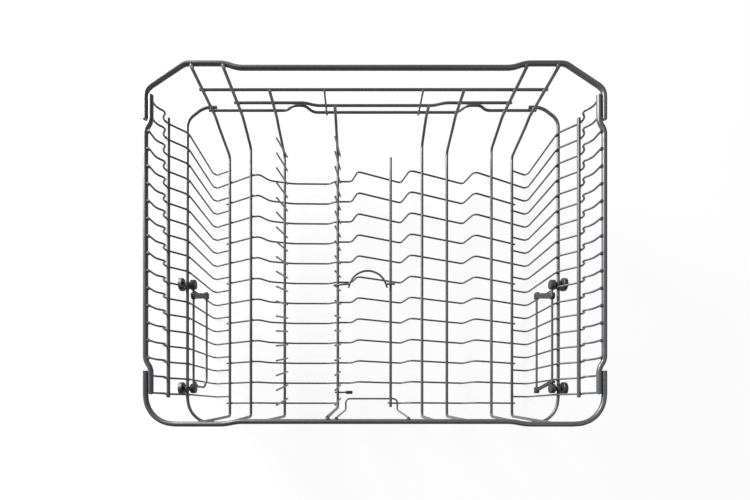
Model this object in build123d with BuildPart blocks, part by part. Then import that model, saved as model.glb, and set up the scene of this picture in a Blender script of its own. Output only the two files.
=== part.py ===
from build123d import *
from math import atan2, cos, degrees, hypot, pi, sin, sqrt, tan
import os

# Upper basket of a dishwasher, in millimetres.
# x runs to the right, y to the back, z up; z = 0 is the underside of the lowest wires.

# Overall sizes
basket_width = 533.4
basket_depth = 420.6
basket_height = 175.4

# Wire gauges, and how the sections and bends are faceted
rim_wire = 6.0
upper_rail_wire = 4.5
lower_rail_wire = 4.0
back_rail_wire = 3.6
long_wire = 4.0
cross_wire = 2.5
tine_wire = 2.5
ring_wire = 3.0
shelf_wire = 3.0
weld_gap = 0.05  # room left between two wires that meet at a weld
butt_gap = 0.2  # room left above a cut end that meets the rim from below
thin_sides = 6
thick_sides = 8
disc_sides = 12

# Rim: a back and a front wire, lapped by two side wires
back_set = 5.0  # the middle of the back run stands inward by this much
front_set = 3.0  # the same in front
rim_set_half = 159.0  # half length of those middle runs
rim_jog = 13.0  # length over which they come back out
back_corner_x = 45.0  # cut-off of the back corners along x
back_corner_y = 30.0  # cut-off of the back corners along y
back_corner_radius = 12.0
front_corner_radius = 32.0
back_end_y = 143.0  # cut ends of the back wire, on the sides
front_end_y = -146.0  # cut ends of the front wire, on the sides
lap_clear = 3.5  # from a cut end to the foot of the side wire's step
lap_jog = 8.0  # length over which a side wire steps inward to the lap
lap_past = 1.7  # the lap reaches past the last side wires by this much

# Side walls; a drop is measured down from the middle of the rim wire
side_pitch = 20.0
side_count = 18
first_side_y = 169.0
top_rise = 2.5  # cut tops of the upright wires above the middle of the rim
nose_start_drop = 18.0
nose_drop = 26.0
nose_inset = 8.0  # how far the nose stands inward of the straight top
pocket_drop = 37.0
upper_rail_inset = 7.2  # from the rim's side wire inward to the upper rail
upper_rail_drop = 45.0
upper_rail_past = 4.5  # the upper rail reaches past the last side wires by this much
wall_inset = 23.7  # from the rim's side wire inward to the upright wall
ledge_drop = 68.0
wall_foot = 3.5  # bend at the foot of the wall
trough_flat = 2.5  # flat run that the basket stands on
lower_rail_drop = 73.0
lower_rail_corner_x = 22.0  # cut-off of the lower rail's back corners along x
lower_rail_corner_y = 17.0  # cut-off of the lower rail's back corners along y
lower_rail_ease = 5.0
lower_rail_front_radius = 31.0
lower_rail_past = 6.0  # its ends reach past the outer long wires by this much

# Floor: waves of a cross wire from left to right, as x and the drop below the rim
floor_waves = [
    (-172.0, 134.5),
    (-162.5, 132.0),
    (-150.0, 150.0),
    (-117.0, 159.0),
    (-63.0, 160.0),
    (-54.0, 152.6),
    (-29.0, 152.6),
    (-20.5, 126.5),
    (-16.5, 126.0),
    (44.6, 156.5),
    (53.5, 123.5),
    (59.0, 123.0),
    (138.0, 159.5),
    (146.0, 127.5),
    (151.5, 127.0),
]
full_every = 3  # every third side wire runs on across the floor
full_first = 1
short_wire_past = 7.0  # a short floor wire reaches past the outer long wires by this much
front_gap_left_x = -48.5  # the front floor wire is open between these two places
front_gap_right_x = 24.5

# Long wires from front to back
outer_long_inset = 23.5  # from the foot of the wall inward to the outer long wire
inner_long_inset = 36.5  # from the outer long wire inward to the next one
tine_long_x = [-128.5, -49.4]
middle_long_x = 28.5
right_long_x = [72.0, 111.0]
front_bend_y = -200.5
early_bend_y = -187.5  # the right tine wire turns up earlier, beside the notch
early_lean_x = 5.2  # and its top stands to the left by this much
back_bend_y = 187.0
back_knee_y = 197.5
back_knee_drop = 101.0
back_shoulder_drop = 86.0
middle_long_back_y = 180.0
middle_long_front_y = -187.0

# Back rails, outside the risers
top_rail_drop = 40.5
top_rail_past = 5.5  # the rails reach past the risers at their ends by this much
middle_rail_drop = 64.3
middle_rail_dip = 5.2
middle_rail_past = 5.5
middle_dip_x = [-88.5, -74.5, 79.0, 93.0]
bottom_rail_drop = 79.2
bottom_rail_past = 6.5
bottom_bump = 9.9
bottom_middle_dip = 3.8  # the run between the two bumps lies lower by this much
bottom_bump_x = [[-114.0, -104.0, -89.0, -79.0], [113.0, 123.0, 140.0, 150.0]]
strut_x = 61.0
riser_past = 4.0  # struts and lower risers reach past their rails by this much

# Tines, welded to the right flank of their long wires
tine_count = 19
tine_first_y = 186.0
tine_pitch = 20.0
tine_height = 64.0
tine_lean_x = 4.6  # the tips stand to the left of the feet by this much
tine_lean_y = 10.5  # the tips stand in front of the feet by this much
tine_clear = 0.3  # room for the leaning tine beside its long wire
tine_foot = 0.5  # foot of a tine above the underside of its long wire

# Half ring for the spray arm and its two tabs
ring_radius = 28.4
ring_end_angle = 6.7  # the arc stops short of a half circle by this much at each end
ring_x = -5.2
ring_y = -15.7
ring_lift = 0.7  # room below the ring and its tabs
ring_chords = 8
ring_tab_y = -7.0
ring_tab_past = 6.0  # the tabs reach past their long wires by this much

# Front notch and latch peg
notch_left_x = -37.5
notch_right_x = 38.5
notch_left_top_x = -44.5
notch_back_y = -174.5
notch_front_y = -191.0
notch_ease = 3.5
peg_y = -165.0
peg_past = 4.5
peg_length = 25.0
cap_length = 10.0
cap_diameter = 5.0
cap_end = 1.5

# Folding cup shelves and their clips
clip_wire_index = {"back": 10, "front": 17}  # the side wires that the clips sit close behind
clip_behind = {"back": 4.4, "front": 8.0}  # how far behind them
clip_outer_diameter = 17.0
clip_outer_thickness = 5.5
clip_inner_diameter = 12.6
clip_inner_thickness = 6.4
clip_neck_diameter = 5.0
clip_barrel_diameter = 9.6
clip_barrel_length = 5.4
clip_clear = 0.05  # between a clip and the rail in its bore
clip_gap = 0.25  # between a clip and the wall wire beside it
clip_outer_gap = 2.6  # between the rail and the outer disc
rod_depth = 4.0  # how far the shelf rod sits in a clip
rod_clear = 0.05
rod_end_clear = 0.2
shelf_drop = 51.0  # from the rod down to the outer wire of the folded shelf
arm_thickness = 5.0
arm_head_diameter = 9.0  # across the rod
arm_foot_size = 9.0
arm_head_width = {"back": 9.0, "front": 3.3}  # along the rod
arm_gap = {"back": 4.0, "front": 0.5}  # between the head of an arm and its clip
arm_shift = {"back": 13.0, "front": 8.3}  # the foot stands towards the clip by this much
shelf_front_gap = 2.2  # from the front clip to the shelf wire's upright end
shelf_corner = 10.0
shelf_crank = 5.0

# Levels and lines worked out from the sizes above
rim_z = basket_height - rim_wire / 2
rim_x = basket_width / 2 - rim_wire / 2
rim_y = basket_depth / 2 - rim_wire / 2
lap_x = rim_x - rim_wire - weld_gap
side_top_x = rim_x - (rim_wire + cross_wire) / 2 - weld_gap
nose_x = side_top_x - nose_inset
upper_rail_x = rim_x - upper_rail_inset
rail_room = (upper_rail_wire + cross_wire) / 2 + weld_gap
pocket_x = upper_rail_x + rail_room
pocket_low_drop = upper_rail_drop + rail_room * tan(pi / 8)
wall_x = rim_x - wall_inset
lower_rail_x = wall_x + (cross_wire + lower_rail_wire) / 2 + weld_gap
lower_rail_z = rim_z - lower_rail_drop
trough_x = wall_x - wall_foot
trough_z = cross_wire / 2
outer_long_x = trough_x - trough_flat - outer_long_inset
inner_long_x = outer_long_x - inner_long_inset
top_rail_half = outer_long_x + top_rail_past
middle_rail_half = inner_long_x + middle_rail_past
bottom_rail_half = outer_long_x + bottom_rail_past
long_reach = long_wire / 2 / cos(pi / thin_sides)
riser_y = rim_y - (rim_wire + long_wire) / 2 - weld_gap
back_rail_y = riser_y + (long_wire + back_rail_wire) / 2 + weld_gap
side_wire_y = [first_side_y - side_pitch * i for i in range(side_count)]
full_wire_y = side_wire_y[full_first::full_every]
short_wire_y = [y - side_pitch * full_every / 2 for y in full_wire_y]
back_step_y = back_end_y - lap_clear
front_step_y = front_end_y + lap_clear
last_side_y = side_wire_y[-1]


def arc_points(center_x, center_y, radius, start, end, chords):
    """Points of an arc in plan; its angles are in degrees."""
    angles = [(start + (end - start) * i / chords) * pi / 180 for i in range(chords + 1)]
    return [(center_x + radius * cos(a), center_y + radius * sin(a)) for a in angles]


def eased(points, reach):
    """The same route with each inner corner cut off at the given reach along both runs."""
    route = [Vector(*points[0])]
    for before, corner, after in zip(points, points[1:], points[2:]):
        middle = Vector(*corner)
        route.append(middle + (Vector(*before) - middle).normalized() * reach)
        route.append(middle + (Vector(*after) - middle).normalized() * reach)
    route.append(Vector(*points[-1]))
    return [(point.X, point.Y, point.Z) for point in route]


def level(points, z):
    """Points in plan, lifted to one height."""
    return [(x, y, z) for x, y in points]


def upright(points, y):
    """Points given as x and z, set at one place from front to back."""
    return [(x, y, z) for x, z in points]


def mirrored(points):
    """The same points on the other side of the middle plane."""
    return [(-point[0], *point[1:]) for point in points]


def wire(points, gauge, sides, normal):
    """A wire with mitred bends; flats of its section face along the plane that it is bent in."""
    with BuildPart() as bent:
        with BuildLine() as route:
            Polyline(*points)
        start = route.line % 0
        with BuildSketch(Plane(origin=points[0], x_dir=Vector(*normal).cross(start), z_dir=start)):
            RegularPolygon(gauge / 2, sides, major_radius=False, rotation=180 / sides)
        sweep(path=route.line, transition=Transition.RIGHT)
    return bent.part


def prism(center, axis, length, diameter, sides):
    """A straight bar of regular section from center along axis; sides 0 makes it round."""
    with BuildPart() as bar:
        with BuildSketch(Plane(origin=center, z_dir=axis)):
            if sides:
                RegularPolygon(diameter / 2, sides, major_radius=False, rotation=180 / sides)
            else:
                Circle(diameter / 2)
        extrude(amount=length)
    return bar.part


def save(name, *pieces):
    """Write one node, made of one solid or of several alike."""
    with BuildPart() as node:
        add(pieces)
    node.part.label = name
    export_step(node.part, f"parts/{name}.step")


os.makedirs("parts", exist_ok=True)
along_x, along_y, along_z = (1, 0, 0), (0, 1, 0), (0, 0, 1)
sides_of_basket = {"right": 1, "left": -1}


# Rim
def back_corner():
    """Right back corner in plan, from the back run to the side run."""
    angle = atan2(back_corner_y, back_corner_x)
    turn = degrees(angle)
    top_x = rim_x - back_corner_x - back_corner_radius * tan(angle / 2)
    low_y = rim_y - back_corner_y - back_corner_radius * tan((pi / 2 - angle) / 2)
    radius = back_corner_radius
    return (
        arc_points(top_x, rim_y - radius, radius, 90, 90 - turn, 2)
        + arc_points(rim_x - radius, low_y, radius, 90 - turn, 0, 2)
    )


def front_corner():
    """Right front corner in plan, from the front run to the side run."""
    radius = front_corner_radius
    return arc_points(rim_x - radius, radius - rim_y, radius, -90, 0, 5)


def rim_end_wire(corner, end_y, run_y, set_y):
    """Back or front wire of the rim; its middle run is set inward from run_y to set_y."""
    half = [
        (rim_set_half, set_y),
        (rim_set_half + rim_jog, run_y),
        *corner,
        (rim_x, end_y),
    ]
    return wire(level(mirrored(half[::-1]) + half, rim_z), rim_wire, thick_sides, along_z)


save("rim_back", rim_end_wire(back_corner(), back_end_y, rim_y, rim_y - back_set))
save("rim_front", rim_end_wire(front_corner(), front_end_y, -rim_y, front_set - rim_y))

rim_side = [
    (lap_x, first_side_y + lap_past),
    (lap_x, back_step_y),
    (rim_x, back_step_y - lap_jog),
    (rim_x, front_step_y + lap_jog),
    (lap_x, front_step_y),
    (lap_x, last_side_y - lap_past),
]
upper_rail = [
    (upper_rail_x, first_side_y + upper_rail_past),
    (upper_rail_x, last_side_y - upper_rail_past),
]


# Floor and walls
def wall_points(y):
    """Right wall of a wire from its cut top at the rim down to the trough, as x and z."""
    lapped = y > back_step_y or y < front_step_y
    top_z = rim_z - rim_wire / 2 - butt_gap if lapped else rim_z + top_rise
    return [
        (side_top_x, top_z),
        (side_top_x, rim_z - nose_start_drop),
        (nose_x, rim_z - nose_drop),
        (pocket_x, rim_z - pocket_drop),
        (pocket_x, rim_z - pocket_low_drop),
        (wall_x, rim_z - ledge_drop),
        (wall_x, trough_z + wall_foot),
        (trough_x, trough_z),
        (trough_x - trough_flat, trough_z),
    ]


floor_line = [
    (trough_flat - trough_x, trough_z),
    *[(x, rim_z - drop) for x, drop in floor_waves],
    (trough_x - trough_flat, trough_z),
]


def floor_at(x):
    """Height of a cross wire's middle at x, and the cosine of its slope there."""
    for (x0, z0), (x1, z1) in zip(floor_line, floor_line[1:]):
        if x0 <= x <= x1:
            return z0 + (z1 - z0) * (x - x0) / (x1 - x0), (x1 - x0) / hypot(x1 - x0, z1 - z0)


def floor_run(x_from, x_to):
    """Stretch of the waved floor between two places, as x and z."""
    inner = [point for point in floor_line if x_from < point[0] < x_to]
    return [(x_from, floor_at(x_from)[0]), *inner, (x_to, floor_at(x_to)[0])]


def cross_wire_at(points, y):
    return wire(upright(points, y), cross_wire, thin_sides, along_y)


for number, y in enumerate(full_wire_y, 1):
    wall = wall_points(y)
    save(f"cross_wire_{number}", cross_wire_at(mirrored(wall) + floor_line[1:-1] + wall[::-1], y))

short_end = outer_long_x + short_wire_past
short_wires = [cross_wire_at(floor_run(-short_end, short_end), y) for y in short_wire_y[:-1]]
short_wires += [
    cross_wire_at(floor_run(-short_end, front_gap_left_x), short_wire_y[-1]),
    cross_wire_at(floor_run(front_gap_right_x, short_end), short_wire_y[-1]),
]
save("floor_wires", *short_wires)


def side_wires(side):
    """The wires of one wall that end below its outer long wire."""
    wires = []
    for y in side_wire_y:
        if y not in full_wire_y:
            points = wall_points(y) + [(outer_long_x, floor_at(outer_long_x)[0])]
            wires.append(cross_wire_at(points if side > 0 else mirrored(points), y))
    return wires


# Long wires, on top of the cross wires
def long_z(x):
    """Height of a long wire that rests on the cross wires at x."""
    height, slope = floor_at(x)
    return height + (cross_wire / 2 + long_reach + weld_gap) / slope


def front_rim_y(x):
    """Middle of the front rim at x."""
    return front_set - rim_y if abs(x) < rim_set_half else -rim_y


def front_flank_y(x, gauge):
    """Where an upright wire meets the inner flank of the front rim."""
    return front_rim_y(x) + (rim_wire + gauge) / 2 + weld_gap


def front_riser(x):
    """Front end of a long wire, from its top at the rim to its bend at the floor."""
    if x == tine_long_x[1]:
        top = (x - early_lean_x, front_flank_y(x, long_wire), rim_z + top_rise)
        return [top, (x, early_bend_y, long_z(x))]
    return [(x, front_rim_y(x), riser_top_z), (x, front_bend_y, long_z(x))]


def long_wire_at(x, back_top_drop):
    """A long wire that turns up to the rim in front and to the given drop at the back."""
    points = [
        *front_riser(x),
        (x, back_bend_y, long_z(x)),
        (x, back_knee_y, rim_z - back_knee_drop),
        (x, riser_y, rim_z - back_shoulder_drop),
        (x, riser_y, rim_z - back_top_drop),
    ]
    return wire(points, long_wire, thin_sides, along_x)


riser_top_z = rim_z - rim_wire / 2 - butt_gap
low_riser_drop = middle_rail_drop + middle_rail_dip - riser_past
high_riser_drop = top_rail_drop - riser_past
long_wires = {
    "left_outer": (-outer_long_x, -top_rise),
    "left_inner": (-inner_long_x, -top_rise),
    "tine_left": (tine_long_x[0], high_riser_drop),
    "tine_right": (tine_long_x[1], low_riser_drop),
    "right_first": (right_long_x[0], low_riser_drop),
    "right_second": (right_long_x[1], high_riser_drop),
    "right_inner": (inner_long_x, -top_rise),
    "right_outer": (outer_long_x, -top_rise),
}
for name, (x, back_top_drop) in long_wires.items():
    save(f"long_wire_{name}", long_wire_at(x, back_top_drop))

middle_long_z = long_z(middle_long_x)
middle_long = [
    (middle_long_x, middle_long_back_y, middle_long_z),
    (middle_long_x, middle_long_front_y, middle_long_z),
]
save("long_wire_middle", wire(middle_long, long_wire, thin_sides, along_x))


# Rails along the back, outside the risers
def back_rail(points):
    """A back rail from points given as x and the drop below the rim."""
    places = [(x, back_rail_y, rim_z - drop) for x, drop in points]
    return wire(places, back_rail_wire, thin_sides, along_z)


dip_drop = middle_rail_drop + middle_rail_dip
bump_drop = bottom_rail_drop - bottom_bump
low_drop = bottom_rail_drop + bottom_middle_dip
middle_drops = [middle_rail_drop, dip_drop, dip_drop, middle_rail_drop]
save("back_rail_top", back_rail([(-top_rail_half, top_rail_drop), (top_rail_half, top_rail_drop)]))
save("back_rail_middle", back_rail([
    (-middle_rail_half, middle_rail_drop),
    *zip(middle_dip_x, middle_drops),
    (middle_rail_half, middle_rail_drop),
]))
save("back_rail_bottom", back_rail([
    (-bottom_rail_half, bottom_rail_drop),
    *zip(bottom_bump_x[0], [bottom_rail_drop, bump_drop, bump_drop, low_drop]),
    *zip(bottom_bump_x[1], [low_drop, bump_drop, bump_drop, bottom_rail_drop]),
    (bottom_rail_half, bottom_rail_drop),
]))

strut_y = back_rail_y - (back_rail_wire + cross_wire) / 2 - weld_gap
strut_top_z = rim_z - high_riser_drop
strut_low_z = rim_z - bottom_rail_drop - riser_past
save("back_struts", *[
    wire([(x, strut_y, strut_top_z), (x, strut_y, strut_low_z)], cross_wire, thin_sides, along_x)
    for x in (-strut_x, strut_x)
])


# Lower side rail: behind the back risers, along the side wall, in front of the front risers
def lower_rail():
    """Right lower rail in plan, from its back end to its front end."""
    end_x = outer_long_x - lower_rail_past
    back_y = riser_y + (long_wire + lower_rail_wire) / 2 + weld_gap
    share = (lower_rail_z - long_z(outer_long_x)) / (riser_top_z - long_z(outer_long_x))
    lean_y = front_bend_y + (front_rim_y(outer_long_x) - front_bend_y) * share
    front_y = lean_y - (long_reach + lower_rail_wire / 2 + weld_gap)
    radius = lower_rail_front_radius
    back = [
        (end_x, back_y, 0),
        (lower_rail_x - lower_rail_corner_x, back_y, 0),
        (lower_rail_x, back_y - lower_rail_corner_y, 0),
        (lower_rail_x, front_y + radius, 0),
    ]
    front = arc_points(lower_rail_x - radius, front_y + radius, radius, 0, -90, 4)
    return [point[:2] for point in eased(back, lower_rail_ease)[:-1]] + front + [(end_x, front_y)]


for name, side in sides_of_basket.items():
    turn = list if side > 0 else mirrored
    save(f"rim_side_{name}", wire(turn(level(rim_side, rim_z)), rim_wire, thick_sides, along_z))
    upper_route = turn(level(upper_rail, rim_z - upper_rail_drop))
    save(f"upper_rail_{name}", wire(upper_route, upper_rail_wire, thick_sides, along_z))
    lower_route = turn(level(lower_rail(), lower_rail_z))
    save(f"lower_rail_{name}", wire(lower_route, lower_rail_wire, thick_sides, along_z))
    save(f"side_wires_{name}", *side_wires(side))


# Tines
def tine_row(long_x):
    """One row of tines along the right flank of a long wire."""
    foot_x = long_x + long_reach + tine_wire / 2 + tine_clear
    foot_z = long_z(long_x) - long_wire / 2 + tine_foot
    tines = []
    for y in [tine_first_y - tine_pitch * i for i in range(tine_count)]:
        tip = (foot_x - tine_lean_x, y - tine_lean_y, foot_z + tine_height)
        tines.append(wire([(foot_x, y, foot_z), tip], tine_wire, thin_sides, along_y))
    return tines


save("tine_row_left", *tine_row(tine_long_x[0]))
save("tine_row_right", *tine_row(tine_long_x[1]))

# Half ring for the spray arm
ring_reach = ring_wire / 2 / cos(pi / thin_sides)
ring_z = middle_long_z + long_wire / 2 + ring_reach + ring_lift
half_ring = arc_points(ring_x, ring_y, ring_radius, ring_end_angle, 180 - ring_end_angle, ring_chords)
save("spray_ring", wire(level(half_ring, ring_z), ring_wire, thin_sides, along_z))

tab_half = sqrt((ring_radius + ring_reach) ** 2 - (ring_tab_y - ring_wire / 2 - ring_y) ** 2)
tab_start_x = ring_x - tab_half - weld_gap
tab_long_x = tine_long_x[1]
tab_low_z = long_z(tab_long_x) + long_wire / 2 + ring_reach + ring_lift
tab_slope = (ring_z - tab_low_z) / (tab_start_x - tab_long_x)
tab_end_x = tab_long_x - ring_tab_past
left_tab = [
    (tab_start_x, ring_tab_y, ring_z),
    (tab_end_x, ring_tab_y, tab_low_z - tab_slope * ring_tab_past),
]
right_tab = [
    (ring_x + tab_half + weld_gap, ring_tab_y, ring_z),
    (middle_long_x + ring_tab_past, ring_tab_y, ring_z),
]
save("ring_tab_left", wire(left_tab, ring_wire, thin_sides, along_z))
save("ring_tab_right", wire(right_tab, ring_wire, thin_sides, along_z))

# Front notch: from the rim down, back below the middle long wire and up again
notch_top_y = front_flank_y(notch_right_x, cross_wire)
notch_z = middle_long_z - long_wire / 2 - cross_wire / 2 / cos(pi / thin_sides) - weld_gap
notch = [
    (notch_left_top_x, notch_top_y, rim_z + top_rise),
    (notch_left_x, notch_front_y, notch_z),
    (notch_left_x, notch_back_y, notch_z),
    (notch_right_x, notch_back_y, notch_z),
    (notch_right_x, notch_front_y, notch_z),
    (notch_right_x, notch_top_y, rim_z + top_rise),
]
save("front_notch", wire(eased(notch, notch_ease), cross_wire, thin_sides, along_x))

# Latch peg below the right tine wire, with its cap
peg_z = long_z(tine_long_x[1]) - (long_wire + cross_wire) / 2 - weld_gap
peg_start_x = tine_long_x[1] - peg_past
peg_end_x = peg_start_x + peg_length
peg = [(peg_start_x, peg_y, peg_z), (peg_end_x, peg_y, peg_z)]
save("latch_peg", wire(peg, cross_wire, thin_sides, along_y))

with BuildPart() as latch_cap:
    add(prism((peg_end_x + cap_end, peg_y, peg_z), (-1, 0, 0), cap_length, cap_diameter, disc_sides))
    peg_bore = [(peg_end_x + clip_clear, peg_y, peg_z), (peg_end_x - cap_length, peg_y, peg_z)]
    add(wire(peg_bore, cross_wire + 2 * clip_clear, thin_sides, along_y), mode=Mode.SUBTRACT)
save("latch_cap", latch_cap.part)

# Clips: two discs on a neck below the lower rail, with a barrel round the rail
clip_z = lower_rail_z
clip_inner_x = wall_x - cross_wire / 2 - clip_gap
clip_outer_x = lower_rail_x + lower_rail_wire / 2 + clip_outer_gap
rod_x = clip_inner_x - clip_inner_thickness / 2
clip_y = {place: side_wire_y[index] + clip_behind[place] for place, index in clip_wire_index.items()}
rod_faces = {"back": -1, "front": 1}  # each rod bore opens towards the other clip


def clip(side, place):
    """A clip of one side, at the back or front end of its shelf."""
    y = clip_y[place]
    face = rod_faces[place]
    outward = (side, 0, 0)
    rail_start = (side * lower_rail_x, y - clip_barrel_length / 2, lower_rail_z)
    bore_start = (side * rod_x, y + face * clip_inner_diameter, clip_z)
    bore_length = clip_inner_diameter / 2 + rod_depth
    neck_start = (side * clip_inner_x, y, clip_z)
    disc_start = (side * clip_outer_x, y, clip_z)
    rail_bore = lower_rail_wire + 2 * clip_clear
    rod_bore = shelf_wire + 2 * rod_clear
    with BuildPart() as body:
        add(prism(neck_start, (-side, 0, 0), clip_inner_thickness, clip_inner_diameter, disc_sides))
        add(prism(neck_start, outward, clip_outer_x - clip_inner_x, clip_neck_diameter, thin_sides))
        add(prism(disc_start, outward, clip_outer_thickness, clip_outer_diameter, disc_sides))
        add(prism(rail_start, along_y, clip_barrel_length, clip_barrel_diameter, thick_sides))
        add(prism(rail_start, along_y, clip_barrel_length, rail_bore, thick_sides), mode=Mode.SUBTRACT)
        add(prism(bore_start, (0, -face, 0), bore_length, rod_bore, 0), mode=Mode.SUBTRACT)
    return body.part


# Shelf: a rod between the clips and a wire at its outer edge, joined by flat arms; the front end
# of the left shelf has its outer wire cranked up to the rod in place of an arm
rod_back_y = clip_y["back"] - clip_inner_diameter / 2 + rod_depth - rod_end_clear
rod_front_y = clip_y["front"] + clip_inner_diameter / 2 - rod_depth + rod_end_clear
arm_head_y = {}
arm_foot_y = {}
for place, face in rod_faces.items():
    arm_reach = clip_inner_diameter / 2 + arm_gap[place] + arm_head_width[place] / 2
    arm_head_y[place] = clip_y[place] + face * arm_reach
    arm_foot_y[place] = arm_head_y[place] - face * arm_shift[place]
shelf_z = clip_z - shelf_drop
shelf_end_y = clip_y["front"] + clip_inner_diameter / 2 + shelf_front_gap


def shelf_arm(side, place):
    """Flat arm from the rod down to one end of the outer wire."""
    head_y = arm_head_y[place]
    foot_y = arm_foot_y[place]
    face = rod_faces[place]
    start_x = side * rod_x - arm_thickness / 2
    bore = shelf_wire + 2 * clip_clear
    head = arm_head_diameter / 2
    bore_start = (side * rod_x, head_y - arm_head_diameter, clip_z)
    socket = [
        (side * rod_x, foot_y - face * clip_clear, shelf_z),
        (side * rod_x, foot_y + face * arm_foot_size, shelf_z),
    ]
    with BuildPart() as arm:
        with BuildSketch(Plane.YZ.offset(start_x)):
            with Locations((foot_y, shelf_z)):
                Rectangle(arm_foot_size, arm_foot_size)
            if place == "back":
                with Locations((head_y, clip_z)):
                    RegularPolygon(head, disc_sides, major_radius=False, rotation=180 / disc_sides)
                make_hull()
            else:
                with Locations((head_y, clip_z - head)):
                    Rectangle(arm_head_width[place], arm_head_width[place])
                make_hull()
                with Locations((head_y, clip_z)):
                    Rectangle(arm_head_width[place], arm_head_diameter)
        extrude(amount=arm_thickness)
        add(prism(bore_start, along_y, 2 * arm_head_diameter, bore, disc_sides), mode=Mode.SUBTRACT)
        add(wire(socket, bore, thin_sides, along_x), mode=Mode.SUBTRACT)
    return arm.part


straight_outer_wire = [
    (rod_x, arm_foot_y["back"], shelf_z),
    (rod_x, arm_foot_y["front"], shelf_z),
]
cranked_outer_wire = [
    (-rod_x, arm_foot_y["back"], shelf_z),
    (-rod_x, shelf_end_y - shelf_crank + shelf_corner, shelf_z),
    (-rod_x, shelf_end_y - shelf_crank, shelf_z + shelf_corner),
    (-rod_x, shelf_end_y - shelf_crank, clip_z - clip_inner_diameter),
    (-rod_x, shelf_end_y, clip_z - clip_inner_diameter + shelf_crank),
    (-rod_x, shelf_end_y, clip_z - shelf_wire / 2 - weld_gap),
]
save("shelf_wire_right", wire(straight_outer_wire, shelf_wire, thin_sides, along_x))
save("shelf_wire_left", wire(cranked_outer_wire, shelf_wire, thin_sides, along_x))
save("shelf_arm_right_back", shelf_arm(1, "back"))
save("shelf_arm_right_front", shelf_arm(1, "front"))
save("shelf_arm_left_back", shelf_arm(-1, "back"))

for name, side in sides_of_basket.items():
    for place in clip_wire_index:
        save(f"clip_{name}_{place}", clip(side, place))
    rod_start = (side * rod_x, rod_front_y, clip_z)
    save(f"shelf_rod_{name}", prism(rod_start, along_y, rod_back_y - rod_front_y, shelf_wire, 0))
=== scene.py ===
# %% [markdown]
# # The upper basket of a dishwasher
# This basket is bent and welded from steel wire and then coated with grey nylon. Black moulded
# clips on its sides carry two folding cup shelves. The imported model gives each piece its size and
# its place, so it is loaded first and stays fixed. Its wires are six- or eight-sided bars with
# sharp mitres, which is right for a light model, and the cells below put round wires with soft
# bends in their places.

# %% Load the frame
import math
from itertools import combinations, product

import bmesh
import bpy
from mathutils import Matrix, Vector
from mathutils.geometry import intersect_line_line


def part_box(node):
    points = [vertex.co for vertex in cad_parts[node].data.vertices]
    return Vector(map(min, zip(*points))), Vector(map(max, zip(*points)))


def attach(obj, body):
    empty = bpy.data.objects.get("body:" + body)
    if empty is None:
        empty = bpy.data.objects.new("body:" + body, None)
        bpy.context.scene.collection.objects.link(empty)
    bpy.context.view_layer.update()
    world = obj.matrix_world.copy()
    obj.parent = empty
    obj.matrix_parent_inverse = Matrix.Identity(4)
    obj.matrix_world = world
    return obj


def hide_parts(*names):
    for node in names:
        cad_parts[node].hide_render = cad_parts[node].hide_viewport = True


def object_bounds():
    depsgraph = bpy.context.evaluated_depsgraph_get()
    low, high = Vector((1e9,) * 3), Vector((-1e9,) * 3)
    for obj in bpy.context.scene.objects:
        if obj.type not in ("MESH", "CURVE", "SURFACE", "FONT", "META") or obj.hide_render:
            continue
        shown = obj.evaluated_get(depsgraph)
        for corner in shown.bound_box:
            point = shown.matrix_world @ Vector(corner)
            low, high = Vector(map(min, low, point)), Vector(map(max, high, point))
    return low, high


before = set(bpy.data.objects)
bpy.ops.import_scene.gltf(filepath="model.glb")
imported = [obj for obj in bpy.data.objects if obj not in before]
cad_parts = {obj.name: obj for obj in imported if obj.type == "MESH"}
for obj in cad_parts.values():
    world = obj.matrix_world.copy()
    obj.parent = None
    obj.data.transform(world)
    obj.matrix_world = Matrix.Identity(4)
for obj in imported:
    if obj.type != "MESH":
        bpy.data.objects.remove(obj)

cad_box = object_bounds()
mm = 0.001
print("nodes", len(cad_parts), "box", [round(v / mm, 1) for corner in cad_box for v in corner])

# %% [markdown]
# ## The line of a wire
# A bent wire is a bar that follows a line, and everything else about it is its thickness. The line
# could be typed in again, but the frame already holds it: each bar is a chain of rings, one at each
# cut end and one at each bend, and the middle of a ring is a point of the line. So a copy of the
# node is merged, its flat faces are joined, and a walk from one cut end to the other collects the
# middles of the rings. The walk keeps to the sharp edges of the bar, because a flat side may still
# be split by slanted edges that pass a bend. The flat distance across a cut end is the gauge.

# %% Read the lines of a node
same_place = 0.005 * mm
flat_angle, sharp_angle = math.radians(0.05), math.radians(3)


def middle(corners):
    return sum((corner.co for corner in corners), Vector()) / len(corners)


def cut_ends(bars):
    """The cut ends are the faces with six or more equal edges."""
    found = []
    for face in bars.faces:
        lengths = [edge.calc_length() for edge in face.edges]
        if len(lengths) >= 6 and max(lengths) < 1.05 * min(lengths):
            found.append(face)
    return found


def next_corners(corner):
    """Where the sharp edges from a corner of the bar lead."""
    sharp = [edge for edge in corner.link_edges if edge.calc_face_angle(0) > sharp_angle]
    return [edge.other_vert(corner) for edge in sharp]


def read_lines(node):
    """The points along each wire of a node, and the gauge of these wires."""
    bars = bmesh.new()
    bars.from_mesh(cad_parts[node].data)
    bmesh.ops.remove_doubles(bars, verts=bars.verts, dist=same_place)
    bmesh.ops.dissolve_limit(bars, angle_limit=flat_angle, verts=bars.verts, edges=bars.edges)
    ends = cut_ends(bars)
    edge = ends[0].edges[0]
    gauge = 2 * (middle(edge.verts) - middle(ends[0].verts)).length
    lines, walked = [], set()
    for end in ends:
        if end in walked:
            continue
        ring, behind, line = list(end.verts), set(), []
        while ring:
            line.append(middle(ring))
            near = [other for corner in ring for other in next_corners(corner)]
            ahead = [corner for corner in near if corner not in behind and corner not in ring]
            behind, ring = set(ring), list(dict.fromkeys(ahead))
        walked.update(face for face in ends if set(face.verts) == behind)
        lines.append(line)
    bars.free()
    return lines, gauge


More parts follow.
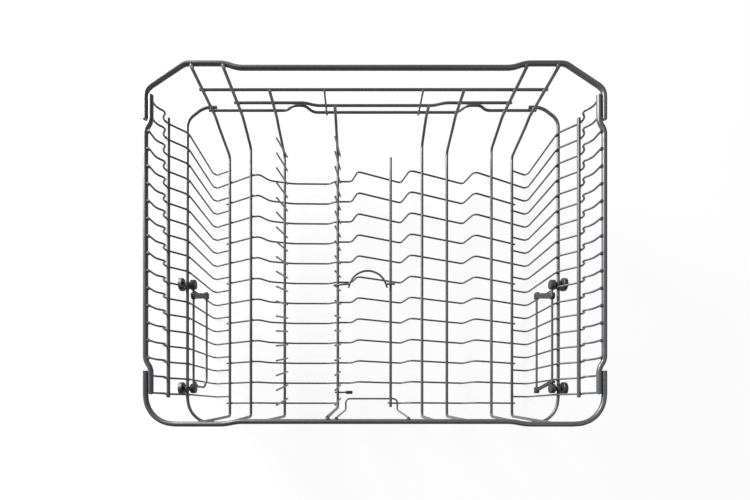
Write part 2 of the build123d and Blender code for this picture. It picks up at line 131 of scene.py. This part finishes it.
wire_nodes = sorted(
    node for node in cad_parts
    if not node.startswith(("clip_", "shelf_arm_", "latch_cap"))
)
wire_lines = {node: read_lines(node) for node in wire_nodes}
for node in ("rim_back", "cross_wire_1", "side_wires_left", "shelf_rod_left"):
    lines, gauge = wire_lines[node]
    points = len(lines[0])
    print(node, len(lines), "wires,", points, "points in the first, gauge", round(gauge / mm, 2))

# %% [markdown]
# ## Bending the wires
# On the bending machine a straight wire is pushed round a small pin at each corner. The same thing
# by hand in Blender is a row of points, extruded one from the other along the line, whose corners
# are rounded by a vertex bevel. A curve with a round bevel then gives it thickness. A chamfered and
# subdivided copy of the bar would also become round, but its bends would swell and its ends shrink.
# A corner between two short runs has less room, so each corner gets a bevel weight that says how
# much of the full reach it may take.

# %% Lay a row of points along each line
bend_reach = {"rim_": 14 * mm, "lower_rail_": 12 * mm, "spray_ring": 8 * mm}
usual_bend = 5 * mm
bend_steps = 5
run_share = 0.48  # of the shorter run at a corner, so that two bends never meet
thick_gauge = 3.5 * mm
end_rounding = 0.3  # of the gauge


def deselect_all():
    bpy.ops.object.select_all(action="DESELECT")


def lay_lines(name, lines):
    """A mesh of bare edges that follows the lines."""
    deselect_all()
    bpy.ops.mesh.primitive_plane_add(size=mm)
    piece = bpy.context.object
    piece.name = piece.data.name = name
    bpy.ops.object.mode_set(mode="EDIT")
    bpy.ops.mesh.select_mode(type="VERT")
    bpy.ops.mesh.delete(type="VERT")
    for line in lines:
        bpy.ops.mesh.primitive_plane_add(size=mm, location=line[0])
        bpy.ops.mesh.merge(type="CENTER")
        for start, end in zip(line, line[1:]):
            bpy.ops.mesh.extrude_region_move(TRANSFORM_OT_translate={"value": end - start})
        bpy.ops.mesh.select_all(action="DESELECT")
    bpy.ops.object.mode_set(mode="OBJECT")
    return piece


def place_key(point):
    return tuple(round(value / (0.01 * mm)) for value in point)


def corner_reaches(lines, reach):
    """How far the bend at each corner may reach along its two runs."""
    reaches = {}
    for line in lines:
        for before, corner, after in zip(line, line[1:], line[2:]):
            room = run_share * min((corner - before).length, (after - corner).length)
            reaches[place_key(corner)] = min(reach, room)
    return reaches


def round_corners(piece, lines, reach):
    """Bevel the corners of the row of points, each by the reach that its runs leave it."""
    reaches = corner_reaches(lines, reach)
    weights = piece.data.attributes.new("bevel_weight_vert", "FLOAT", "POINT")
    for vertex, weight in zip(piece.data.vertices, weights.data):
        weight.value = reaches.get(place_key(vertex.co), 0) / reach
    bends = piece.modifiers.new("bends", "BEVEL")
    bends.affect = "VERTICES"
    bends.limit_method = "WEIGHT"
    bends.width = reach
    bends.segments = bend_steps
    bends.use_clamp_overlap = False
    bpy.ops.object.modifier_apply(modifier="bends")


def thicken(piece, gauge):
    """Turn the row of points into a round bar with softened cut ends."""
    bpy.ops.object.convert(target="CURVE")
    piece.data.bevel_depth = gauge / 2
    piece.data.bevel_resolution = 5 if gauge > thick_gauge else 4
    piece.data.use_fill_caps = True
    bpy.ops.object.convert(target="MESH")
    bpy.ops.object.mode_set(mode="EDIT")
    bpy.ops.mesh.select_mode(type="FACE")
    bpy.ops.mesh.select_all(action="SELECT")
    bpy.ops.mesh.remove_doubles(threshold=0.002 * mm)
    bpy.ops.mesh.select_face_by_sides(number=4, type="GREATER", extend=False)
    bpy.ops.mesh.bevel(offset=end_rounding * gauge, segments=3, affect="EDGES")
    bpy.ops.mesh.select_all(action="SELECT")
    bpy.ops.mesh.normals_make_consistent(inside=False)
    bpy.ops.object.mode_set(mode="OBJECT")
    bpy.ops.object.shade_smooth_by_angle(angle=math.radians(50))


# %% Bend every wire of the basket
def rider_of(node):
    if node.startswith("shelf_"):
        return "shelf_left" if "left" in node else "shelf_right"
    return "frame"


def reach_of(node):
    fitting = [reach for start, reach in bend_reach.items() if node.startswith(start)]
    return fitting[0] if fitting else usual_bend


wires = {}
for node in wire_nodes:
    lines, gauge = wire_lines[node]
    piece = lay_lines(node + ".round", lines)
    round_corners(piece, lines, reach_of(node))
    thicken(piece, gauge)
    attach(piece, rider_of(node))
    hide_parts(node)
    wires[node] = piece
wire_faces = sum(len(piece.data.polygons) for piece in wires.values())
print("bent", len(wires), "nodes of wire,", wire_faces, "faces")

# %% [markdown]
# ## Where the wires are welded
# Every crossing of the frame is a spot weld, and the melted coating gathers round it. Without such
# a bead the wires would only seem to lie on each other. The lines are known, so the welds are found
# by measuring: two wires are welded where their lines come as near as half of both gauges. A small
# ball sits there. Most of it is hidden in the two wires, and only the fillet between them shows.

# %% Find the welds
weld_room = 0.4 * mm
least_crossing = math.radians(15)
bead_share, bead_past = 0.5, 0.25 * mm


def nearest_on(point, start, end):
    run = end - start
    share = (point - start).dot(run) / run.length_squared
    return start + run * min(max(share, 0), 1)


def meeting(first, second):
    """Where two straight runs come nearest, a point on each; nothing if they lie side by side."""
    crossing = intersect_line_line(*first, *second)
    if crossing is None or (first[1] - first[0]).angle(second[1] - second[0]) < least_crossing:
        return None
    on_first = nearest_on(crossing[0], *first)
    on_second = nearest_on(on_first, *second)
    return nearest_on(on_second, *first), on_second


def line_box(points, room):
    low = Vector(min(point[axis] for point in points) - room for axis in range(3))
    high = Vector(max(point[axis] for point in points) + room for axis in range(3))
    return low, high


def boxes_meet(first, second):
    (low, high), (other_low, other_high) = first, second
    return all(start < end for start, end in zip((*low, *other_low), (*other_high, *high)))


def boxed_runs(line, room):
    return [(run, line_box(run, room)) for run in zip(line, line[1:])]


frame_wires = [
    (boxed_runs(line, gauge / 2 + weld_room), line_box(line, gauge / 2 + weld_room), gauge / 2)
    for node in wire_nodes if rider_of(node) == "frame"
    for lines, gauge in [wire_lines[node]]
    for line in lines
]
welds = []
for (runs, box, radius), (other_runs, other_box, other_radius) in combinations(frame_wires, 2):
    if not boxes_meet(box, other_box):
        continue
    reach, spots = radius + other_radius, []
    for (run, run_box), (other_run, other_run_box) in product(runs, other_runs):
        points = meeting(run, other_run) if boxes_meet(run_box, other_run_box) else None
        if points and (points[1] - points[0]).length < reach + weld_room:
            spot = points[0].lerp(points[1], radius / reach)
            if all((spot - other).length > 2 * reach for other in spots):
                spots.append(spot)
    welds += [(spot, bead_share * reach + bead_past) for spot in spots]
print(len(welds), "welds between", len(frame_wires), "wires of the frame")

# %% Set a bead at each weld
deselect_all()
bpy.ops.mesh.primitive_plane_add(size=mm)
beads = bpy.context.object
beads.name = beads.data.name = "weld_beads"
bpy.ops.object.mode_set(mode="EDIT")
bpy.ops.mesh.delete(type="VERT")
for spot, radius in welds:
    bpy.ops.mesh.primitive_ico_sphere_add(subdivisions=2, radius=radius, location=spot)
bpy.ops.object.mode_set(mode="OBJECT")
bpy.ops.object.shade_smooth()
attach(beads, "frame")
wires["weld_beads"] = beads
print("beads", len(beads.data.polygons), "faces")

# %% [markdown]
# ## The clips
# A clip is moulded in black plastic. It snaps over the lower rail from outside, between an outer
# disc that keeps it from slipping through and an inner disc in which the rod of a cup shelf turns.
# It is turned like a spool: a disc is extruded along its axis and scaled at each step. The barrel
# round the rail is a second round bar, joined on, and the bores for rail and rod are cut last.
# One clip is modelled, and the other three are turned copies of it.

# %% Turn a spool by extruding a disc
round_sides = 48


def turn_spool(name, start, axis, steps):
    """A round body along x from start; a step is how far along the axis, and the radius there."""
    deselect_all()
    first_along, first_radius = steps[0]
    place = Vector(start) + Vector((axis * first_along, 0, 0))
    bpy.ops.mesh.primitive_circle_add(
        vertices=round_sides,
        radius=first_radius,
        fill_type="NGON",
        location=place,
        rotation=(0, math.pi / 2, 0),
    )
    spool = bpy.context.object
    spool.name = spool.data.name = name
    bpy.ops.object.transform_apply(location=True, rotation=True, scale=True)
    bpy.ops.object.mode_set(mode="EDIT")
    bpy.ops.mesh.select_mode(type="FACE")
    bpy.ops.mesh.select_all(action="SELECT")
    for (along, radius), (next_along, next_radius) in zip(steps, steps[1:]):
        shift = (axis * (next_along - along), 0, 0)
        centre = Vector(start) + Vector((axis * next_along, 0, 0))
        share = next_radius / radius
        bpy.ops.mesh.extrude_region_move(TRANSFORM_OT_translate={"value": shift})
        bpy.ops.transform.resize(value=(1, share, share), center_override=centre)
    bpy.ops.mesh.select_all(action="SELECT")
    bpy.ops.mesh.normals_make_consistent(inside=False)
    bpy.ops.object.mode_set(mode="OBJECT")
    return spool


def round_bar(name, centre, radius, length, edge=0):
    """A round bar along y; edge rounds its two rims."""
    deselect_all()
    bpy.ops.mesh.primitive_cylinder_add(
        vertices=round_sides,
        radius=radius,
        depth=length,
        location=centre,
        rotation=(math.pi / 2, 0, 0),
    )
    bar = bpy.context.object
    bar.name = bar.data.name = name
    bpy.ops.object.transform_apply(location=True, rotation=True, scale=True)
    if edge:
        bpy.ops.object.mode_set(mode="EDIT")
        bpy.ops.mesh.select_face_by_sides(number=4, type="GREATER", extend=False)
        bpy.ops.mesh.bevel(offset=edge, segments=3, affect="EDGES")
        bpy.ops.object.mode_set(mode="OBJECT")
    return bar


def combine(body, tool, operation):
    """Join a second body to the first or cut it out, then throw the second away."""
    joint = body.modifiers.new("joint", "BOOLEAN")
    joint.object = tool
    joint.operation = operation
    joint.solver = "EXACT"
    bpy.context.view_layer.objects.active = body
    bpy.ops.object.modifier_apply(modifier="joint")
    bpy.data.objects.remove(tool)


# %% Model one clip at its place on the right, at the back
clip_low, clip_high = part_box("clip_right_back")
clip_middle = (clip_low + clip_high) / 2
disc_start = Vector((clip_low.x, clip_middle.y, clip_middle.z))
outer_radius = (clip_high.z - clip_low.z) / 2
(rail_line,), rail_gauge = wire_lines["lower_rail_right"]
rail_x = max(point.x for point in rail_line)
(rod_line,), rod_gauge = wire_lines["shelf_rod_right"]
inner_radius, neck_radius, barrel_radius = 6.3 * mm, 2.5 * mm, 4.8 * mm
inner_thickness, outer_thickness, barrel_length = 6.4 * mm, 5.5 * mm, 5.4 * mm
full_length = clip_high.x - clip_low.x
inner_end, outer_start = inner_thickness, full_length - outer_thickness
through_length, socket_length = 40 * mm, 20 * mm
snug, running = 0.03 * mm, 0.05 * mm  # room round a wire in its bore

clip = turn_spool("clip_right_back.moulded", disc_start, 1, [
    (0, inner_radius - 2.2 * mm),
    (0, inner_radius - 0.9 * mm),
    (0.25 * mm, inner_radius - 0.3 * mm),
    (0.9 * mm, inner_radius),
    (inner_end - 0.7 * mm, inner_radius),
    (inner_end, inner_radius - 0.7 * mm),
    (inner_end, neck_radius + 0.4 * mm),
    (inner_end + 0.6 * mm, neck_radius),
    (outer_start - 0.8 * mm, neck_radius),
    (outer_start, neck_radius + 0.8 * mm),
    (outer_start, outer_radius - 0.6 * mm),
    (outer_start + 0.6 * mm, outer_radius),
    (full_length - 1.2 * mm, outer_radius),
    (full_length - 0.35 * mm, outer_radius - 0.4 * mm),
    (full_length, outer_radius - 1.3 * mm),
    (full_length, outer_radius - 3.2 * mm),
    (full_length - 0.6 * mm, outer_radius - 3.9 * mm),
])
rail_place = (rail_x, clip_middle.y, clip_middle.z)
combine(clip, round_bar("barrel", rail_place, barrel_radius, barrel_length, 0.5 * mm), "UNION")
rail_bore = round_bar("rail_bore", rail_place, rail_gauge / 2 + snug, through_length)
combine(clip, rail_bore, "DIFFERENCE")
rod_back = max(point.y for point in rod_line) + 0.2 * mm
rod_place = (rod_line[0].x, rod_back - socket_length / 2, clip_middle.z)
rod_bore = round_bar("rod_bore", rod_place, rod_gauge / 2 + running, socket_length)
combine(clip, rod_bore, "DIFFERENCE")
print("clip", len(clip.data.polygons), "faces")

# %% Turn copies of the clip to the other three places
plastic_pieces = []


def finish_plastic(piece, node):
    deselect_all()
    piece.select_set(True)
    bpy.context.view_layer.objects.active = piece
    bpy.ops.object.shade_smooth_by_angle(angle=math.radians(35))
    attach(piece, rider_of(node))
    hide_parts(node)
    plastic_pieces.append(piece)


half_turns = {
    "clip_right_front": (math.pi, 0, 0),
    "clip_left_back": (0, math.pi, 0),
    "clip_left_front": (0, 0, math.pi),
}
for node, turn in half_turns.items():
    low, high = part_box(node)
    deselect_all()
    clip.select_set(True)
    bpy.context.view_layer.objects.active = clip
    bpy.ops.object.duplicate()
    copy = bpy.context.object
    copy.name = copy.data.name = node + ".moulded"
    copy.data.transform(copy.matrix_world)
    bpy.context.scene.cursor.location = clip_middle
    bpy.ops.object.origin_set(type="ORIGIN_CURSOR")
    copy.rotation_euler = turn
    copy.location = (low + high) / 2
    bpy.ops.object.transform_apply(location=True, rotation=True, scale=True)
    finish_plastic(copy, node)
    print(node, "moved to", [round(v / mm, 1) for v in (low + high) / 2])
finish_plastic(clip, "clip_right_back")

# %% [markdown]
# ## The arms of the cup shelves
# A flat moulded arm hangs from the rod and holds one end of the shelf's outer wire. Its head is a
# round eye on the rod and its foot a block round the wire, with a flat web between them. The arm in
# front has only a narrow slot between its clip and the next wire, so its head is a slim block. Each
# arm is made of those three simple bodies with rounded edges, joined into one. A hull over head and
# foot would be quicker, but its sides would show the corners of the eye.

# %% Build an arm between the rod and the outer wire
def rounded_block(name, centre, size, edge, tilt=0):
    deselect_all()
    bpy.ops.mesh.primitive_cube_add(size=1, location=centre, scale=size, rotation=(tilt, 0, 0))
    block = bpy.context.object
    block.name = block.data.name = name
    bpy.ops.object.transform_apply(location=True, rotation=True, scale=True)
    bpy.ops.object.mode_set(mode="EDIT")
    bpy.ops.mesh.select_all(action="SELECT")
    bpy.ops.mesh.bevel(offset=edge, segments=3, affect="EDGES")
    bpy.ops.object.mode_set(mode="OBJECT")
    return block


head_radius, slim_width, foot_size = 4.5 * mm, 3.3 * mm, 9.0 * mm
for node in sorted(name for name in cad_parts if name.startswith("shelf_arm_")):
    low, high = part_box(node)
    front = node.endswith("front")
    head_y = high.y - slim_width / 2 if front else low.y + head_radius
    foot_y = low.y + foot_size / 2 if front else high.y - foot_size / 2
    x, thickness = (low.x + high.x) / 2, high.x - low.x
    head = Vector((x, head_y, high.z - head_radius))
    foot = Vector((x, foot_y, low.z + foot_size / 2))
    if front:
        slim_size = (thickness, slim_width, 2 * head_radius)
        arm = rounded_block(node + ".moulded", head, slim_size, 0.6 * mm)
        web_top, web_width = head - Vector((0, 0, 4.0 * mm)), 4.2 * mm
    else:
        arm = turn_spool(node + ".moulded", (low.x, head.y, head.z), 1, [
            (0, head_radius - 1.6 * mm),
            (0, head_radius - 0.6 * mm),
            (0.6 * mm, head_radius),
            (thickness - 0.6 * mm, head_radius),
            (thickness, head_radius - 0.6 * mm),
            (thickness, head_radius - 1.6 * mm),
        ])
        web_top, web_width = head, 7.4 * mm
    run = foot - web_top
    tilt = math.atan2(-run.y, run.z) + math.pi
    web_size = (thickness - 1.2 * mm, web_width, run.length)
    combine(arm, rounded_block("web", (web_top + foot) / 2, web_size, 0.5 * mm, tilt), "UNION")
    foot_block = rounded_block("foot", foot, (thickness, foot_size, foot_size), 1.0 * mm)
    combine(arm, foot_block, "UNION")
    eye_bore = round_bar("eye_bore", head, rod_gauge / 2 + snug, through_length)
    combine(arm, eye_bore, "DIFFERENCE")
    inward = 1 if front else -1
    wire_place = foot + Vector((0, inward * (socket_length / 2 - 0.1 * mm), 0))
    socket = round_bar("socket", wire_place, rod_gauge / 2 + snug, socket_length)
    combine(arm, socket, "DIFFERENCE")
    finish_plastic(arm, node)
    print(node, len(arm.data.polygons), "faces")

# %% [markdown]
# ## The cap of the latch peg
# A short peg of bare-cut wire at the front carries a plastic cap with a domed end. It is a spool
# again: the dome comes from a few steps that shrink towards the end, and the bore from a last step
# inward at the open end.

# %% Turn the cap
cap_low, cap_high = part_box("latch_cap")
cap_middle = (cap_low + cap_high) / 2
cap_radius, cap_length = 2.5 * mm, cap_high.x - cap_low.x
peg_radius = wire_lines["latch_peg"][1] / 2
cap = turn_spool("latch_cap.moulded", (cap_high.x, cap_middle.y, cap_middle.z), -1, [
    (0, 0.9 * mm),
    (0.12 * mm, 1.5 * mm),
    (0.5 * mm, 2.1 * mm),
    (1.1 * mm, cap_radius),
    (cap_length - 0.4 * mm, cap_radius),
    (cap_length, cap_radius - 0.4 * mm),
    (cap_length, peg_radius + 0.05 * mm),
    (1.6 * mm, peg_radius + 0.05 * mm),
])
finish_plastic(cap, "latch_cap")
print("cap", round(cap_length / mm, 1), "mm long")

# %% [markdown]
# ## Writing shader maths as plain sums
# A material is a net of nodes, and sums in it need one Math node for each sign. A small class makes
# that readable: it wraps one output, and adding or multiplying it adds the node. Any other node
# comes from its one method, which sets the node's settings first and its sockets after them.

# %% A value on its way through a material
class Flow:
    def __init__(self, tree, socket=None):
        self.tree = tree
        self.socket = socket

    def node(self, kind, settings, sockets, output=0):
        made = self.tree.nodes.new(kind)
        for name, value in settings.items():
            setattr(made, name, value)
        for name, value in sockets.items():
            if isinstance(value, Flow):
                self.tree.links.new(value.socket, made.inputs[name])
            else:
                made.inputs[name].default_value = value
        return Flow(self.tree, made.outputs[output] if made.outputs else None)

    def maths(self, operation, first, second):
        return self.node("ShaderNodeMath", {"operation": operation}, {0: first, 1: second})

    def __add__(self, other):
        return self.maths("ADD", self, other)

    __radd__ = __add__

    def __mul__(self, other):
        return self.maths("MULTIPLY", self, other)

    __rmul__ = __mul__

    def __sub__(self, other):
        return self.maths("SUBTRACT", self, other)

    def __rsub__(self, other):
        return self.maths("SUBTRACT", other, self)


def start_material(name):
    material = bpy.data.materials.new(name)
    material.use_nodes = True
    material.node_tree.nodes.clear()
    return material, Flow(material.node_tree)


# %% [markdown]
# ## The coating of the wires
# The nylon is melted on from powder, so it is satin, a little uneven in thickness and very slightly
# dimpled like the peel of an orange. A slow noise drifts the grey over a hand's width, a finer one
# changes the gloss, and the finest one feeds a shallow bump.

# %% Mix the coating
def noise(flow, place, size, detail=2.0):
    """Noise with features of about the given size in metres."""
    sockets = {"Vector": place, "Scale": 1 / size, "Detail": detail}
    return flow.node("ShaderNodeTexNoise", {"noise_dimensions": "3D"}, sockets)


def blend_colours(flow, share, first, second):
    return flow.node(
        "ShaderNodeMix",
        {"data_type": "RGBA"},
        {0: share, 6: (*first, 1), 7: (*second, 1)},
        output=2,
    )


coating, flow = start_material("grey_nylon_coating")
place = flow.node("ShaderNodeTexCoord", {}, {}, output=3)
drift = noise(flow, place, 60 * mm)
mottle = noise(flow, place, 4 * mm, 3.0)
peel = noise(flow, place, 0.8 * mm)
dark_grey, light_grey = (0.034, 0.0355, 0.039), (0.074, 0.0765, 0.083)
grey = blend_colours(flow, 0.65 * drift + 0.35 * mottle, dark_grey, light_grey)
dimples = flow.node(
    "ShaderNodeBump", {}, {"Strength": 0.25, "Distance": 0.05 * mm, "Height": peel}
)
surface = flow.node("ShaderNodeBsdfPrincipled", {}, {
    "Base Color": grey,
    "Roughness": 0.3 + 0.16 * mottle,
    "IOR": 1.53,
    "Normal": dimples,
})
flow.node("ShaderNodeOutputMaterial", {}, {"Surface": surface})
for piece in wires.values():
    piece.data.materials.clear()
    piece.data.materials.append(coating)
print("coating has", len(coating.node_tree.nodes), "nodes")

# %% [markdown]
# ## The black plastic
# Clips, arms and cap come out of a mould with a fine spark-eroded grain, which scatters the light
# and makes the black look soft. A fine noise gives the grain, and a slow drift keeps the large
# faces from looking like one flat tone.

# %% Mix the plastic
plastic, flow = start_material("black_moulded_plastic")
place = flow.node("ShaderNodeTexCoord", {}, {}, output=3)
drift = noise(flow, place, 9 * mm)
grain = noise(flow, place, 0.35 * mm, 3.0)
black = blend_colours(flow, drift, (0.012, 0.012, 0.013), (0.028, 0.028, 0.03))
grained = flow.node(
    "ShaderNodeBump", {}, {"Strength": 0.35, "Distance": 0.04 * mm, "Height": grain}
)
surface = flow.node("ShaderNodeBsdfPrincipled", {}, {
    "Base Color": black,
    "Roughness": 0.42 + 0.2 * grain,
    "IOR": 1.49,
    "Normal": grained,
})
flow.node("ShaderNodeOutputMaterial", {}, {"Surface": surface})
for piece in plastic_pieces:
    piece.data.materials.clear()
    piece.data.materials.append(plastic)
print("plastic on", len(plastic_pieces), "pieces")

# %% [markdown]
# ## Floor, light and camera
# The basket stands on a white studio floor under a large soft lamp behind it on the left, with a
# weaker one on the right. The floor turns white where the camera or a reflection looks at it, and
# the world where the camera does, so the background is clean without more light on the wires. A
# small part of the floor's own shading stays in, so that the shadow does too.

# %% Lay the floor
deselect_all()
bpy.ops.mesh.primitive_plane_add(size=4, location=(0, 0, cad_box[0].z))
floor = bpy.context.object
floor.name = "studio_floor"
bpy.ops.object.transform_apply(location=True, rotation=True, scale=True)
white, flow = start_material("white_studio_floor")
seen = flow.node("ShaderNodeLightPath", {}, {})
paths = seen.socket.node.outputs
looked_at = Flow(flow.tree, paths["Is Camera Ray"]) + Flow(flow.tree, paths["Is Glossy Ray"])
looked_at = looked_at + Flow(flow.tree, paths["Is Transmission Ray"])
matt = flow.node("ShaderNodeBsdfDiffuse", {}, {"Color": (0.8, 0.8, 0.8, 1)})
bright = flow.node("ShaderNodeEmission", {}, {"Color": (1, 1, 1, 1), "Strength": 1.0})
mixed = flow.node("ShaderNodeMixShader", {}, {0: 0.88 * looked_at, 1: matt, 2: bright})
flow.node("ShaderNodeOutputMaterial", {}, {"Surface": mixed})
floor.data.materials.append(white)

world = bpy.data.worlds.new("studio")
bpy.context.scene.world = world
world.use_nodes = True
world.node_tree.nodes.clear()
flow = Flow(world.node_tree)
seen = flow.node("ShaderNodeLightPath", {}, {})
camera_sees = Flow(flow.tree, seen.socket.node.outputs["Is Camera Ray"])
brightness = 0.16 + 0.84 * camera_sees
sky = flow.node("ShaderNodeBackground", {}, {"Color": (1, 1, 1, 1), "Strength": brightness})
flow.node("ShaderNodeOutputWorld", {}, {"Surface": sky})


# %% Hang the lamps
aim = Vector((0, 0, 80 * mm))


def soft_lamp(name, place, size, watts):
    deselect_all()
    bpy.ops.object.light_add(type="AREA", location=place)
    lamp = bpy.context.object
    lamp.name = name
    lamp.data.shape = "SQUARE"
    lamp.data.size = size
    lamp.data.energy = watts
    lamp.rotation_euler = (aim - Vector(place)).to_track_quat("-Z", "Y").to_euler()
    return lamp


soft_lamp("key_lamp", (-1.4, 1.22, 0.8), 0.9, 140)
soft_lamp("fill_lamp", (0.9, -0.5, 1.5), 1.2, 8)

# %% [markdown]
# The photograph was taken from straight above the front of the basket, and its upright wires all
# point at one spot there. A tilted camera would make the rim a trapezium, so the lens is shifted
# instead. The sensor fits the height of the picture. Its width then changes nothing in this picture
# and only sets how far other views of the scene stand back. It is narrow, so that the shifted lens
# still holds the whole basket in them.

# %% Set up the camera straight above
photo_height, focal_pixels = 500, 448
middle_pixel, axis_pixel = (375, 250), (358, 409.5)
camera_place = (-19.5 * mm, -190.5 * mm, 687.4 * mm)
bpy.ops.object.camera_add(location=camera_place, rotation=(0, 0, 0))
camera = bpy.context.object
camera.data.sensor_fit = "VERTICAL"
camera.data.sensor_height = 24
camera.data.sensor_width = 22
camera.data.lens = camera.data.sensor_height * focal_pixels / photo_height
camera.data.shift_x = (middle_pixel[0] - axis_pixel[0]) / photo_height
camera.data.shift_y = (axis_pixel[1] - middle_pixel[1]) / photo_height
camera.data.clip_start = 10 * mm
bpy.context.scene.camera = camera
bpy.context.scene.view_settings.view_transform = "Standard"
print("lens", round(camera.data.lens, 2), "mm")
